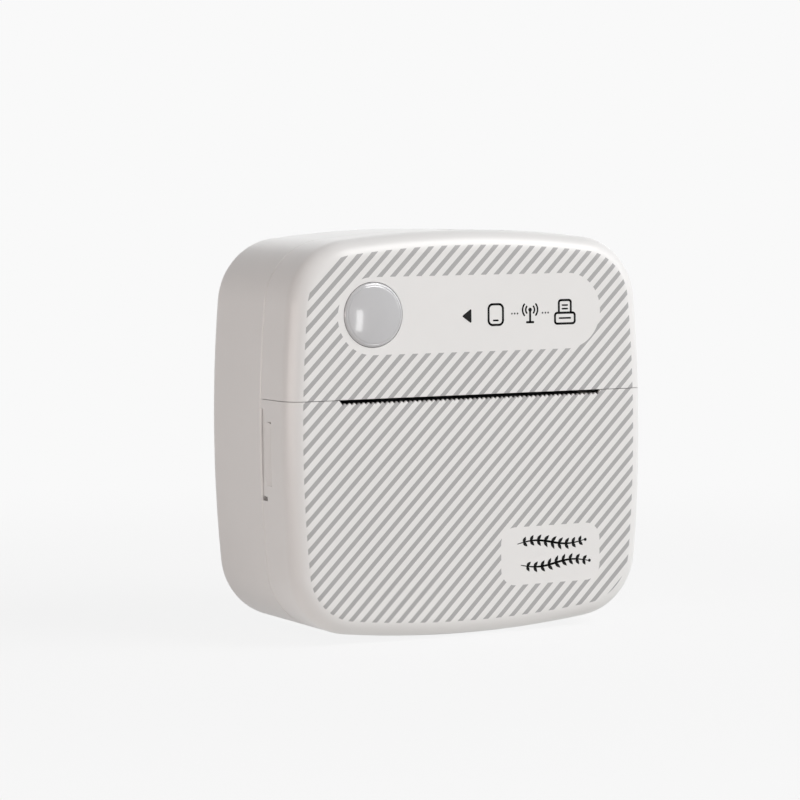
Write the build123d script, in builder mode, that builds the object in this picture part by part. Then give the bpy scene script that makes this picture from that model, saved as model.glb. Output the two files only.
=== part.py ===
from build123d import *
from math import acos, cos, degrees, hypot, pi, radians, sin, sqrt, tan
import os

# A pocket printer for thermal stickers: a rounded-square case that stands on edge.
# X runs across the front, Y from the front face to the back, Z up from the table.

# Case
paper_width = 57.0        # the printer takes this roll, and its case is as wide as that asks
body_depth = 40.0         # front face to back face
side_radius = 300.0       # bulge of the left and right sides
top_radius = 236.0        # bulge of the top and the bottom
corner_radius = 14.1      # the four corners of the outline
front_round = 4.1         # rounding where the sides meet the front face
back_round = 3.5          # rounding where the sides meet the back
wall = 2.0                # moulded wall
front_depth = 14.0        # front face to the seam round the sides
seam_gap = 0.12           # gap between neighbouring mouldings
seam_chamfer = 0.15       # lead on the outer edge of the front mouldings at the seam
back_lead = 0.28          # and the wider one on the back shell
foot_drop = 0.3           # feet stand this far below the case

# Paper mouth and tear teeth
mouth_above_bay = 11.9    # seam between top front and cover, above the paper bay
top_front_tall = 34.0     # from that seam to the top
mouth_room = 4.8          # the mouth is this much wider than the paper
mouth_drop = 1.15         # from the seam to the tooth valleys
tooth_height = 0.47
tooth_thick = 0.6         # the wall is thinned to this behind the teeth
tooth_root = 0.4          # and this far below the valleys
mouth_thinned = 1.2       # and this far beyond the ends of the mouth
mouth_slant = 0.85        # each end of the mouth leans in by this much
tooth_pitch = 1.08

# Power button
button_diameter = 13.1
button_clearance = 0.15
button_inset = 19.05      # button centre in from the left side
button_drop = 16.95       # and down from the top
button_dome = 0.9         # crown of the dome above its rim
button_proud = 0.25       # rim above the front face
button_travel = 0.6
flange_width = 1.0        # lip that keeps the button in the case
flange_thick = 1.0
stem_radius = 2.2

# Charging socket
socket_x = 1.5
socket_back = 8.5         # socket centre behind the front face
socket_width = 8.94
socket_height = 3.26
socket_depth = 7.3
socket_wall = 0.3
socket_recess = 0.6
socket_clearance = 0.25
tongue_thick = 0.7

# Main board
board_thick = 1.2
board_side_room = 13.0    # side of the case to the board
board_below = 7.2         # board above the mouth
board_above = 5.3         # top of the case to the board
board_boss_inset = 3.0    # posts in from the lower and upper edges of the board
led_offset = 6.3          # light beside the middle of the button
board_corner = 3.0
boss_radius = 2.4
board_boss_x = 12.0
board_screw_bite = 5.5
small_head_radius = 1.9
small_head_tall = 1.2
screw_socket_radius = 1.2
screw_radius = 1.0
screw_fit = 0.05          # radial room round a screw's shank
switch_size = 6.0
switch_tall = 3.5
plunger_radius = 1.7
plunger_fit = 0.1
plunger_proud = 1.15
switch_corner = 0.5
switch_floor = 0.6        # left under the plunger's bore
led_size = 1.8
led_tall = 0.8
module_x = 17.0
module_below = 11.0       # module above the lower edge of the board
module_wide = 12.0
module_tall = 10.0
module_thick = 2.2
module_corner = 0.8
plug_inset = 9.0          # battery plug in from the left edge of the board
plug_wide = 6.0
plug_deep = 4.0
plug_drop = 8.0           # top of the plugs below the upper edge of the board
plug_tall = 5.0
lead_radius = 0.5
lead_spacing = 2.0
lead_bend = 3.0
lead_room = 2.7           # leads run this far under the top wall
motor_plug_inset = 17.0   # motor plug in from the right edge
motor_plug_wide = 6.0
touch_gap = 0.05          # pieces that touch in use stand this far apart

# Paper bay
bay_wall = 1.2
bay_behind_seam = 6.8     # centre of the roll behind the seam
bay_side_room = 1.0       # roll to the end walls
bay_end_reach = 12.8      # end walls reach this far in front of the roll's centre
ceiling_reach = 4.3
bay_room = 0.2            # bay to the case
bay_rise = 1.9            # lifts the bay clear of the round corners of the case
bay_lip_angle = 33.0      # the trough starts this far in front of its lowest line
bay_lug_radius = 2.6
bay_lug_ahead = 0.8       # lugs start this far in front of the roll's centre
bay_lug_length = 8.0
bay_post_radius = 2.2     # posts that carry the print frame
bay_post_out = 4.0        # post beyond the end wall
bay_post_behind = 2.2     # post behind the roll's centre
bay_post_length = 6.0
rib_x = 20.0              # ribs on the floor of the case under the bay
rib_width = 1.2
rib_ahead = 3.8
rib_behind = 5.2

# Printing line
platen_radius = 4.0
platen_shaft_radius = 1.25
platen_back = 7.4         # platen centre behind the front face
platen_below = 4.6        # platen centre below the mouth seam
bush_radius = 2.75
roller_play = 0.5         # roller to bush
bush_step = 0.2           # bush rim to ear
ear_thick = 1.6
ear_play = 0.4            # ear to side plate
bush_stand = 0.3          # bush beyond the side plate
ear_drop = 8.0            # the ears reach this far below the platen
ear_rim = 1.0             # ear round the bush
running_fit = 0.04        # radial clearance of a turning shaft
shaft_fit = 0.01          # pieces pressed onto a shaft
sensor_wide = 5.0
sensor_deep = 1.6
sensor_tall = 2.4
ribbon_wide = 12.0
ribbon_thick = 0.2
ribbon_rise = 4.5         # ribbon on the back of the board
paper_nip = 0.15          # platen to heater line

head_side_room = 1.5      # the head is narrower than the paper by this much each side
head_board_thick = 0.8
head_board_below = 4.2    # head board below and above the platen's axis
head_board_above = 6.8
glaze_radius = 0.9        # heater line on the head board
glaze_proud = 0.12
sink_thick = 2.0
sink_skirt = 1.0          # heat sink beyond the lower edge of the head board
sink_head = 0.5           # and beyond the upper edge
pivot_rise = 1.6          # pivot above the heat sink
pivot_lug_radius = 1.5
pivot_radius = 0.75
pivot_lug_width = 3.0
pivot_lug_inset = 3.0     # lugs in from the ends of the heat sink

spring_x = 16.0
spring_drop = 1.7         # springs below the platen's axis
spring_length = 3.3
spring_radius = 2.0
spring_wire = 0.4

# Print frame
frame_plate = 1.2
plate_ahead = 3.0         # side plates in front of the platen's axis
plate_shoulder = 4.7      # side plates above the mouth at the front
plate_rise = 7.7          # and further back
plate_step = 4.0          # platen's axis to the step between the two
plate_rim = 1.2           # plate beyond the motor
frame_length = 10.2       # spring plate to the back edge
spring_plate_rise = 4.3   # spring plate above the platen's axis
nose_ahead = 4.8          # paper guide in front of and behind the platen's axis
nose_behind = 2.4
nose_rise = 0.7           # paper guide above the mouth
tab_half = 3.0            # tabs that sit on the posts of the bay
notch_fit = 0.1
notch_drop = 3.6

# Gear train
gear_module = 0.5
pressure_angle = radians(20)
addendum = 0.75 * gear_module
dedendum = gear_module
backlash = 0.1
platen_teeth = 18
idler_small_teeth = 14
idler_large_teeth = 28
pinion_teeth = 12
idler_direction = radians(30)
motor_direction = radians(35)
gear_play = 0.4           # bush to the first gear
layer_a_thick = 2.3
layer_gap = 0.4
layer_b_thick = 2.0
gear_room = 2.2           # gears to the wall of the case
stud_radius = 1.0
clip_thick = 0.4
motor_radius = 7.5
motor_length = 8.6
motor_shaft_radius = 0.75
motor_boss_radius = 2.5
motor_ear_reach = 10.0
motor_ear_radius = 2.0
motor_ear_thick = 0.8
motor_ear_direction = radians(-35)
motor_screw_radius = 0.9
frame_screw_bite = 5.0

# Battery
battery_side_room = 17.0  # side of the case to the battery
battery_above = 11.3      # top of the case to the battery
battery_below = 4.6       # battery above the paper bay
battery_gap = 0.4         # battery to motor
battery_corner = 1.2
tape_thick = 0.6

# Hinge
hinge_radius = 2.4
hinge_pin_radius = 0.8
hinge_gap = 0.3
hinge_lugs = (-7.0, 7.0)  # middles of the knuckles on the back shell
hinge_lug_width = 6.0
hinge_length = 44.0
hinge_room = 0.3
lug_root = 3.0            # the knuckles are rooted in the floor behind the seam

# Case screws and feet
case_screw_radius = 1.2
screw_head_radius = 2.2
screw_head_tall = 1.5
screw_tube_radius = 3.2
screw_bite = 7.0
case_screw_inset = 9.0    # in from the sides of the case
case_screw_drop = 11.0    # in from the top and the bottom
screw_ledge = 2.0
foot_radius = 3.0
foot_x = 14.0
foot_behind_seam = 3.4    # middle of the front pair behind the seam
foot_inset_back = 6.5     # middle of the back pair in from the back face
foot_sink = 0.3           # feet sit in shallow pockets

# Finger notch on each side of the cover
notch_length = 18.4
notch_below_mouth = 11.2
notch_deep = 0.6
notch_wide = 1.9
scoop_length = 12.9       # nail catch in front of the notch
scoop_wide = 3.1
scoop_deep = 0.9
scoop_ridge = 0.2         # left between the nail catch and the notch
pry_tall = 0.9            # slot through the wall at the lower end of the notch
pry_wide = 2.6
relief_tall = 0.5         # and one at the upper end of the nail catch
relief_wide = 1.5

# Places across the printer, from the paper outwards
mouth_width = paper_width + mouth_room
bay_half_width = paper_width / 2 + bay_side_room
head_half_width = paper_width / 2 - head_side_room
pivot_lug_x = head_half_width - pivot_lug_inset
bush_inner = paper_width / 2 + roller_play
ear_inner = bush_inner + bush_step
frame_inner = ear_inner + ear_thick + ear_play
plate_outer = frame_inner + frame_plate
bush_outer = plate_outer + bush_stand
layer_a_start = bush_outer + gear_play
gear_a_end = layer_a_start + layer_a_thick
layer_b_start = gear_a_end + layer_gap
gear_b_end = layer_b_start + layer_b_thick
bay_post_x = bay_half_width + bay_wall + bay_post_out
half_width = gear_b_end + gear_room + wall
body_width = 2 * half_width
board_half_width = half_width - board_side_room
battery_width = body_width - 2 * battery_side_room
case_screw_x = half_width - case_screw_inset
button_x = button_inset - half_width
plug_x = plug_inset - board_half_width
motor_plug_x = board_half_width - motor_plug_inset

# Places from front to back
front_y = -body_depth / 2
back_y = body_depth / 2
inner_front = front_y + wall
inner_back = back_y - wall
seam_y = front_y + front_depth
cover_back_y = seam_y - seam_gap
foot_front_y = seam_y + foot_behind_seam
foot_back_y = back_y - foot_inset_back
socket_y = front_y + socket_back
board_front_y = socket_y + socket_height / 2
board_back_y = board_front_y + board_thick
platen_y = front_y + platen_back
head_face_y = platen_y + platen_radius + paper_nip + glaze_proud
sink_front_y = head_face_y + head_board_thick
sink_back_y = sink_front_y + sink_thick
pivot_y = (sink_front_y + sink_back_y) / 2
frame_front = platen_y - plate_ahead
frame_step = platen_y + plate_step
frame_back_y = sink_back_y + spring_length
frame_rear = frame_back_y + frame_length
bay_y = seam_y + bay_behind_seam
bay_radius = inner_back - bay_room - bay_wall - bay_y
bay_lug_front = bay_y - bay_lug_ahead
bay_lug_back = bay_lug_front + bay_lug_length
bay_post_y = bay_y + bay_post_behind
ceiling_front = bay_y - ceiling_reach
hinge_y = seam_y - hinge_gap - hinge_radius

# Places from the table up
floor_z = foot_drop + wall
bay_z = floor_z + bay_room + bay_rise + bay_radius + bay_wall
bay_top = bay_z + bay_radius + bay_wall
mouth_z = bay_top + mouth_above_bay
case_top = mouth_z + top_front_tall
half_height = (case_top - foot_drop) / 2
middle_z = foot_drop + half_height
button_z = case_top - button_drop
screw_high_z = case_top - case_screw_drop
screw_low_z = foot_drop + case_screw_drop
socket_top_z = case_top - socket_recess
hinge_z = foot_drop + hinge_radius
frame_bottom = bay_top + touch_gap
platen_z = mouth_z - platen_below
head_board_low = platen_z - head_board_below
head_board_high = platen_z + head_board_above
sink_low = head_board_low - sink_skirt
sink_high = head_board_high + sink_head
pivot_height = sink_high + pivot_rise
spring_z = platen_z - spring_drop
spring_plate_top = platen_z + spring_plate_rise
frame_shoulder = mouth_z + plate_shoulder
frame_top = mouth_z + plate_rise
nose_low = mouth_z + nose_rise
board_bottom = mouth_z + board_below
board_top = case_top - board_above
ribbon_top = board_bottom + ribbon_rise
module_z = board_bottom + module_below
plug_top = board_top - plug_drop
lead_z = case_top - wall - lead_room
battery_bottom = bay_top + battery_below
battery_top = case_top - battery_above


def pitch_radius(teeth):
    return gear_module * teeth / 2


# Gear centres: the idler lies above and behind the platen, the motor above and behind the idler
idler_distance = pitch_radius(platen_teeth) + pitch_radius(idler_small_teeth)
idler_y = platen_y + idler_distance * cos(idler_direction)
idler_z = platen_z + idler_distance * sin(idler_direction)
motor_distance = pitch_radius(idler_large_teeth) + pitch_radius(pinion_teeth)
motor_y = idler_y + motor_distance * cos(motor_direction)
motor_z = idler_z + motor_distance * sin(motor_direction)
ear_reach_y = motor_ear_reach * cos(motor_ear_direction)
ear_reach_z = motor_ear_reach * sin(motor_ear_direction)
motor_ears = [(motor_y + side * ear_reach_y, motor_z + side * ear_reach_z) for side in (-1, 1)]
frame_motor_rear = motor_y + ear_reach_y + motor_ear_radius
frame_motor_top = motor_z + motor_radius + plate_rim
motor_back = frame_inner - motor_length
spring_plate_end = motor_back - plate_rim
battery_front = motor_y + motor_radius + battery_gap
frame_low_front = head_board_low


def front_plane(y, x=0.0, z=0.0):
    """Plane facing the front at depth y: its own x is X, its own y is Z."""
    return Plane(origin=(x, y, z), x_dir=(1, 0, 0), z_dir=(0, -1, 0))


def side_plane(x, y=0.0, z=0.0):
    """Plane facing +X: its own x is Y, its own y is Z."""
    return Plane(origin=(x, y, z), x_dir=(0, 1, 0), z_dir=(1, 0, 0))


def case_outline(y, inset=0.0):
    """Section of the case at depth y, moved inwards by inset: four long arcs and four corner arcs."""
    wide, tall = half_width - inset, half_height - inset
    side, top, corner = side_radius - inset, top_radius - inset, corner_radius - inset
    # Each corner arc touches two long arcs, so its centre lies at known distances from theirs
    side_back, top_back = side - wide, top - tall
    apart = hypot(side_back, top_back)
    along = ((side - corner) ** 2 - (top - corner) ** 2 + apart**2) / (2 * apart)
    off = sqrt((side - corner) ** 2 - along**2)
    corner_x = (along * side_back + off * top_back) / apart - side_back
    corner_z = (off * side_back - along * top_back) / apart
    side_share, top_share = side / (side - corner), top / (top - corner)
    side_end = ((corner_x + side_back) * side_share - side_back, corner_z * side_share)
    top_end = (corner_x * top_share, (corner_z + top_back) * top_share - top_back)
    corner_mid = (corner_x + corner / sqrt(2), corner_z + corner / sqrt(2))
    with BuildSketch(front_plane(y, z=middle_z)) as outline:
        with BuildLine():
            for across in (-1, 1):
                ThreePointArc((across * side_end[0], -side_end[1]), (across * wide, 0),
                              (across * side_end[0], side_end[1]))
                ThreePointArc((-top_end[0], across * top_end[1]), (0, across * tall),
                              (top_end[0], across * top_end[1]))
                for up in (-1, 1):
                    ThreePointArc(*[(across * x, up * z) for x, z in (side_end, corner_mid, top_end)])
        make_face()
    return outline.sketch


def block(x_span, y_span, z_span, mode=Mode.ADD):
    """Box between three pairs of limits."""
    spans = (x_span, y_span, z_span)
    with Locations(tuple((low + high) / 2 for low, high in spans)):
        Box(*[high - low for low, high in spans], mode=mode)


def post(x, z, y_start, y_end, radius, mode=Mode.ADD):
    """Round bar or hole along Y."""
    with BuildSketch(front_plane(y_start, x, z)) as end:
        Circle(radius)
    extrude(end.sketch, amount=y_start - y_end, mode=mode)


def rod(y, z, x_start, x_end, radius, mode=Mode.ADD):
    """Round bar or hole along X."""
    with BuildSketch(side_plane(x_start, y, z)) as end:
        Circle(radius)
    extrude(end.sketch, amount=x_end - x_start, mode=mode)


def disc(x, y, z_start, z_end, radius, mode=Mode.ADD):
    """Round bar or hole along Z."""
    with BuildSketch(Plane(origin=(x, y, z_start))) as end:
        Circle(radius)
    extrude(end.sketch, amount=z_end - z_start, mode=mode)


def finish(part, name):
    part.label = name
    export_step(part, f"parts/{name}.step")


os.makedirs("parts", exist_ok=True)

foot_rise = top_radius - sqrt(top_radius**2 - (foot_x + foot_radius) ** 2)
foot_top_z = foot_drop + foot_sink + foot_rise
foot_places = [(x, y) for x in (-foot_x, foot_x) for y in (foot_front_y, foot_back_y)]
screw_length = screw_ledge + screw_bite
screw_hole = case_screw_radius + screw_fit
counterbore = screw_head_radius + 0.2
board_screw_hole = screw_radius + screw_fit
board_screw_x = (-board_boss_x, board_boss_x)
board_screw_z = (board_bottom + board_boss_inset, board_top - board_boss_inset)
switch_front_y = board_front_y - switch_tall
button_back_y = switch_front_y - plunger_proud - touch_gap

# Both front mouldings are cut from this block and share its hollow
with BuildPart() as front_block:
    extrude(case_outline(front_y), amount=seam_gap - front_depth)
    fillet(front_block.faces().sort_by(Axis.Y)[0].edges(), front_round)
    chamfer(front_block.faces().sort_by(Axis.Y)[-1].edges(), seam_chamfer)

with BuildPart() as front_hollow:
    extrude(case_outline(inner_front, wall), amount=wall - front_depth)
    fillet(front_hollow.faces().sort_by(Axis.Y)[0].edges(), front_round - wall)

# Upper front shell: fixed, holds the button and the main board
with BuildPart() as upper_front_shell:
    add(front_block.part)
    add(front_hollow.part, mode=Mode.SUBTRACT)
    split(bisect_by=Plane.XY.offset(mouth_z), keep=Keep.TOP)
    for x in (-case_screw_x, case_screw_x):
        post(x, screw_high_z, inner_front, seam_y - seam_gap, screw_tube_radius)
        post(x, screw_high_z, seam_y - seam_gap - screw_bite, seam_y, screw_hole, Mode.SUBTRACT)
    for x in board_screw_x:
        for z in board_screw_z:
            post(x, z, inner_front, board_front_y, boss_radius)
            post(x, z, board_front_y - board_screw_bite, board_front_y, board_screw_hole, Mode.SUBTRACT)
    post(button_x, button_z, front_y, inner_front, button_diameter / 2 + button_clearance, Mode.SUBTRACT)
    with BuildSketch(Plane(origin=(socket_x, socket_y, socket_top_z - socket_depth))) as socket_slot:
        SlotOverall(socket_width + 2 * socket_clearance, socket_height + 2 * socket_clearance)
    extrude(socket_slot.sketch, amount=case_top, mode=Mode.SUBTRACT)
finish(upper_front_shell.part, "upper_front_shell")

# Paper cover: front and sides below the mouth, with the tear teeth and the hinge barrel
valley_z = mouth_z - mouth_drop
valley_half = mouth_width / 2 - mouth_slant
tooth_count = round(2 * valley_half / tooth_pitch)
tooth_step = 2 * valley_half / tooth_count
cover_top_z = mouth_z - seam_gap
notch_z = mouth_z - notch_below_mouth
notch_front_y = cover_back_y - notch_wide
scoop_front_y = notch_front_y - scoop_wide
ear_round = bush_radius + ear_rim
with BuildPart() as paper_cover:
    add(front_block.part)
    add(front_hollow.part, mode=Mode.SUBTRACT)
    split(bisect_by=Plane.XY.offset(cover_top_z), keep=Keep.BOTTOM)
    with BuildSketch(front_plane(front_y)) as mouth:
        with BuildLine():
            teeth = [(-mouth_width / 2, case_top), (-mouth_width / 2, mouth_z), (-valley_half, valley_z)]
            for number in range(tooth_count):
                teeth.append((-valley_half + (number + 0.5) * tooth_step, valley_z + tooth_height))
                teeth.append((-valley_half + (number + 1) * tooth_step, valley_z))
            teeth += [(mouth_width / 2, mouth_z), (mouth_width / 2, case_top)]
            Polyline(*teeth, close=True)
        make_face()
    extrude(mouth.sketch, amount=-wall - front_round, mode=Mode.SUBTRACT)
    block(
        (-mouth_width / 2 - mouth_thinned, mouth_width / 2 + mouth_thinned),
        (front_y + tooth_thick, inner_front + front_round),
        (valley_z - tooth_root, mouth_z),
        Mode.SUBTRACT,
    )
    with BuildSketch(side_plane(-body_width)) as behind_hinge:
        with Locations(((hinge_y + seam_y) / 2, hinge_z / 2)):
            Rectangle(seam_y - hinge_y, hinge_z)
        with Locations((hinge_y, hinge_z)):
            Circle(hinge_radius, mode=Mode.SUBTRACT)
    extrude(behind_hinge.sketch, amount=2 * body_width, mode=Mode.SUBTRACT)
    rod(hinge_y, hinge_z, -hinge_length / 2, hinge_length / 2, hinge_radius)
    for x in hinge_lugs:
        reach = hinge_lug_width / 2 + hinge_room
        rod(hinge_y, hinge_z, x - reach, x + reach, hinge_radius + hinge_gap, Mode.SUBTRACT)
    extrude(case_outline(front_y), amount=-body_depth, mode=Mode.INTERSECT)
    pin_half = hinge_length / 2 - hinge_room
    rod(hinge_y, hinge_z, -pin_half, pin_half, hinge_pin_radius + running_fit, Mode.SUBTRACT)
    for side in (-1, 1):
        block(
            sorted((side * ear_inner, side * (ear_inner + ear_thick))),
            (inner_front, platen_y),
            (platen_z - ear_drop, platen_z + ear_round),
        )
        rod(platen_y, platen_z, side * ear_inner, side * (ear_inner + ear_thick), ear_round)
        rod(platen_y, platen_z, side * ear_inner, side * (ear_inner + ear_thick), bush_radius, Mode.SUBTRACT)
        with BuildSketch(side_plane(side * (half_width - notch_deep), cover_back_y, notch_z)) as notch:
            RectangleRounded(2 * notch_wide, notch_length, notch_wide / 2)
        extrude(notch.sketch, amount=side * half_width, mode=Mode.SUBTRACT)
        with BuildSketch(Plane.XY.offset(notch_z - scoop_length / 2)) as scoop:
            with BuildLine():
                Polyline(
                    (side * half_width, scoop_front_y),
                    (side * (half_width - scoop_deep), scoop_front_y),
                    (side * half_width, notch_front_y - scoop_ridge),
                    close=True,
                )
            make_face()
        extrude(scoop.sketch, amount=scoop_length, mode=Mode.SUBTRACT)
        through_wall = sorted((side * (half_width - wall - notch_deep), side * half_width))
        for y_span, middle, tall in (
            ((cover_back_y - pry_wide, cover_back_y), notch_z - notch_length / 2, pry_tall),
            ((scoop_front_y, scoop_front_y + relief_wide), notch_z + scoop_length / 2, relief_tall),
        ):
            block(through_wall, y_span, (middle - tall / 2, middle + tall / 2), Mode.SUBTRACT)
finish(paper_cover.part, "paper_cover")

# Back shell: rear half of the case with the screw tubes, floor ribs and hinge knuckles
with BuildPart() as back_shell:
    extrude(case_outline(seam_y), amount=seam_y - back_y)
    fillet(back_shell.faces().sort_by(Axis.Y)[-1].edges(), back_round)
    chamfer(back_shell.faces().sort_by(Axis.Y)[0].edges(), back_lead)
    extrude(case_outline(seam_y, wall), amount=seam_y - inner_back, mode=Mode.SUBTRACT)
    rib_span = (bay_y - rib_ahead, bay_y + rib_behind)
    for x in (-rib_x, rib_x):
        block((x - rib_width / 2, x + rib_width / 2), rib_span, (floor_z, bay_z))
    lug_root_y = seam_y + lug_root
    for x in hinge_lugs:
        left, right = x - hinge_lug_width / 2, x + hinge_lug_width / 2
        rod(hinge_y, hinge_z, left, right, hinge_radius)
        block((left, right), (hinge_y, lug_root_y), (hinge_z, hinge_z + hinge_radius))
        block((left, right), (seam_y, lug_root_y), (floor_z - wall / 2, hinge_z + hinge_radius))
    rib_end = rib_x + rib_width
    rod(bay_y, bay_z, -rib_end, rib_end, bay_radius + bay_wall + touch_gap, Mode.SUBTRACT)
    for x in (-case_screw_x, case_screw_x):
        for z, tube_front in ((screw_high_z, seam_y), (screw_low_z, bay_lug_back + touch_gap)):
            post(x, z, tube_front, inner_back, screw_tube_radius)
            post(x, z, tube_front, back_y, screw_hole, Mode.SUBTRACT)
            post(x, z, tube_front + screw_ledge, back_y, counterbore, Mode.SUBTRACT)
    for x, y in foot_places:
        disc(x, y, 0, foot_top_z, foot_radius + seam_gap / 2, Mode.SUBTRACT)
    extrude(case_outline(front_y), amount=-body_depth, mode=Mode.INTERSECT)
    rod(hinge_y, hinge_z, -pin_half, pin_half, hinge_pin_radius + running_fit, Mode.SUBTRACT)
finish(back_shell.part, "back_shell")

# Four rubber feet in shallow pockets of the back shell
with BuildPart() as rubber_feet:
    for x, y in foot_places:
        disc(x, y, 0, foot_top_z - touch_gap, foot_radius)
finish(rubber_feet.part, "rubber_feet")

# Hinge pin
with BuildPart() as hinge_pin:
    rod(hinge_y, hinge_z, touch_gap - pin_half, pin_half - touch_gap, hinge_pin_radius)
finish(hinge_pin.part, "hinge_pin")

# Four case screws, driven in from the back
with BuildPart() as case_screws:
    for x in (-case_screw_x, case_screw_x):
        for z, tube_front in ((screw_high_z, seam_y), (screw_low_z, bay_lug_back + touch_gap)):
            seat = tube_front + screw_ledge
            post(x, z, seat - screw_length + case_screw_radius / 2, seat, case_screw_radius)
            post(x, z, seat, seat + screw_head_tall, screw_head_radius)
            post(x, z, seat + screw_head_tall / 2, seat + screw_head_tall, screw_socket_radius, Mode.SUBTRACT)
finish(case_screws.part, "case_screws")

# Power button: a dome on a short stem, kept in by its flange
cap_radius = button_diameter / 2
rim_y = front_y - button_proud
flange_y = inner_front + touch_gap
with BuildPart() as power_button:
    with BuildSketch(Plane(origin=(button_x, 0, button_z))) as section:
        with BuildLine():
            bulge = (cap_radius**2 + button_dome**2) / (2 * button_dome)
            middle_y = rim_y - button_dome + bulge - sqrt(bulge**2 - (cap_radius / 2) ** 2)
            ThreePointArc((0, rim_y - button_dome), (cap_radius / 2, middle_y), (cap_radius, rim_y))
            Polyline(
                (cap_radius, rim_y),
                (cap_radius, flange_y),
                (cap_radius + flange_width, flange_y),
                (cap_radius + flange_width, flange_y + flange_thick),
                (stem_radius, flange_y + flange_thick),
                (stem_radius, button_back_y),
                (0, button_back_y),
                (0, rim_y - button_dome),
            )
        make_face()
    revolve(axis=Axis((button_x, 0, button_z), (0, 1, 0)))
finish(power_button.part, "power_button")

# Push switch on the main board: housing with a bore, and the plunger that the button pushes
with BuildPart() as power_switch:
    reach = switch_size / 2
    block(
        (button_x - reach, button_x + reach),
        (switch_front_y, board_front_y),
        (button_z - reach, button_z + reach),
    )
    fillet(power_switch.edges().filter_by(Axis.Y), switch_corner)
    bore = plunger_radius + plunger_fit
    post(button_x, button_z, switch_front_y, board_front_y - switch_floor, bore, Mode.SUBTRACT)
finish(power_switch.part, "power_switch")

with BuildPart() as switch_plunger:
    plunger_back_y = board_front_y - switch_floor - button_travel - plunger_fit
    post(button_x, button_z, switch_front_y - plunger_proud, plunger_back_y, plunger_radius)
finish(switch_plunger.part, "switch_plunger")

# Main board on four posts, with what is soldered to it
with BuildPart() as main_board:
    block((-board_half_width, board_half_width), (board_front_y, board_back_y), (board_bottom, board_top))
    fillet(main_board.edges().filter_by(Axis.Y), board_corner)
    for x in board_screw_x:
        for z in board_screw_z:
            post(x, z, board_front_y, board_back_y, board_screw_hole, Mode.SUBTRACT)
finish(main_board.part, "main_board")

with BuildPart() as board_screws:
    for x in board_screw_x:
        for z in board_screw_z:
            post(x, z, board_front_y - board_screw_bite + screw_radius, board_back_y, screw_radius)
            post(x, z, board_back_y, board_back_y + small_head_tall, small_head_radius)
            post(x, z, board_back_y + small_head_tall / 2, board_back_y + small_head_tall,
                 small_head_radius / 2, Mode.SUBTRACT)
finish(board_screws.part, "board_screws")

with BuildPart() as status_led:
    block(
        (button_x + led_offset - led_size / 2, button_x + led_offset + led_size / 2),
        (board_front_y - led_tall, board_front_y),
        (button_z - led_size / 2, button_z + led_size / 2),
    )
finish(status_led.part, "status_led")

with BuildPart() as wireless_module:
    block(
        (module_x - module_wide / 2, module_x + module_wide / 2),
        (board_front_y - module_thick, board_front_y),
        (module_z - module_tall / 2, module_z + module_tall / 2),
    )
    fillet(wireless_module.edges().filter_by(Axis.Y), module_corner)
finish(wireless_module.part, "wireless_module")

with BuildPart() as charging_socket:
    socket_rear = socket_top_z - socket_depth
    with BuildSketch(Plane(origin=(socket_x, socket_y, socket_rear))) as shell:
        SlotOverall(socket_width, socket_height)
    extrude(shell.sketch, amount=socket_depth)
    with BuildSketch(Plane(origin=(socket_x, socket_y, socket_rear + 2 * socket_wall))) as room:
        SlotOverall(socket_width - 2 * socket_wall, socket_height - 2 * socket_wall)
    extrude(room.sketch, amount=socket_depth, mode=Mode.SUBTRACT)
    tongue_half = socket_width / 2 - socket_height / 2
    block(
        (socket_x - tongue_half, socket_x + tongue_half),
        (socket_y - tongue_thick / 2, socket_y + tongue_thick / 2),
        (socket_top_z - socket_depth + socket_wall, socket_top_z - tongue_thick),
    )
finish(charging_socket.part, "charging_socket")

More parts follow.
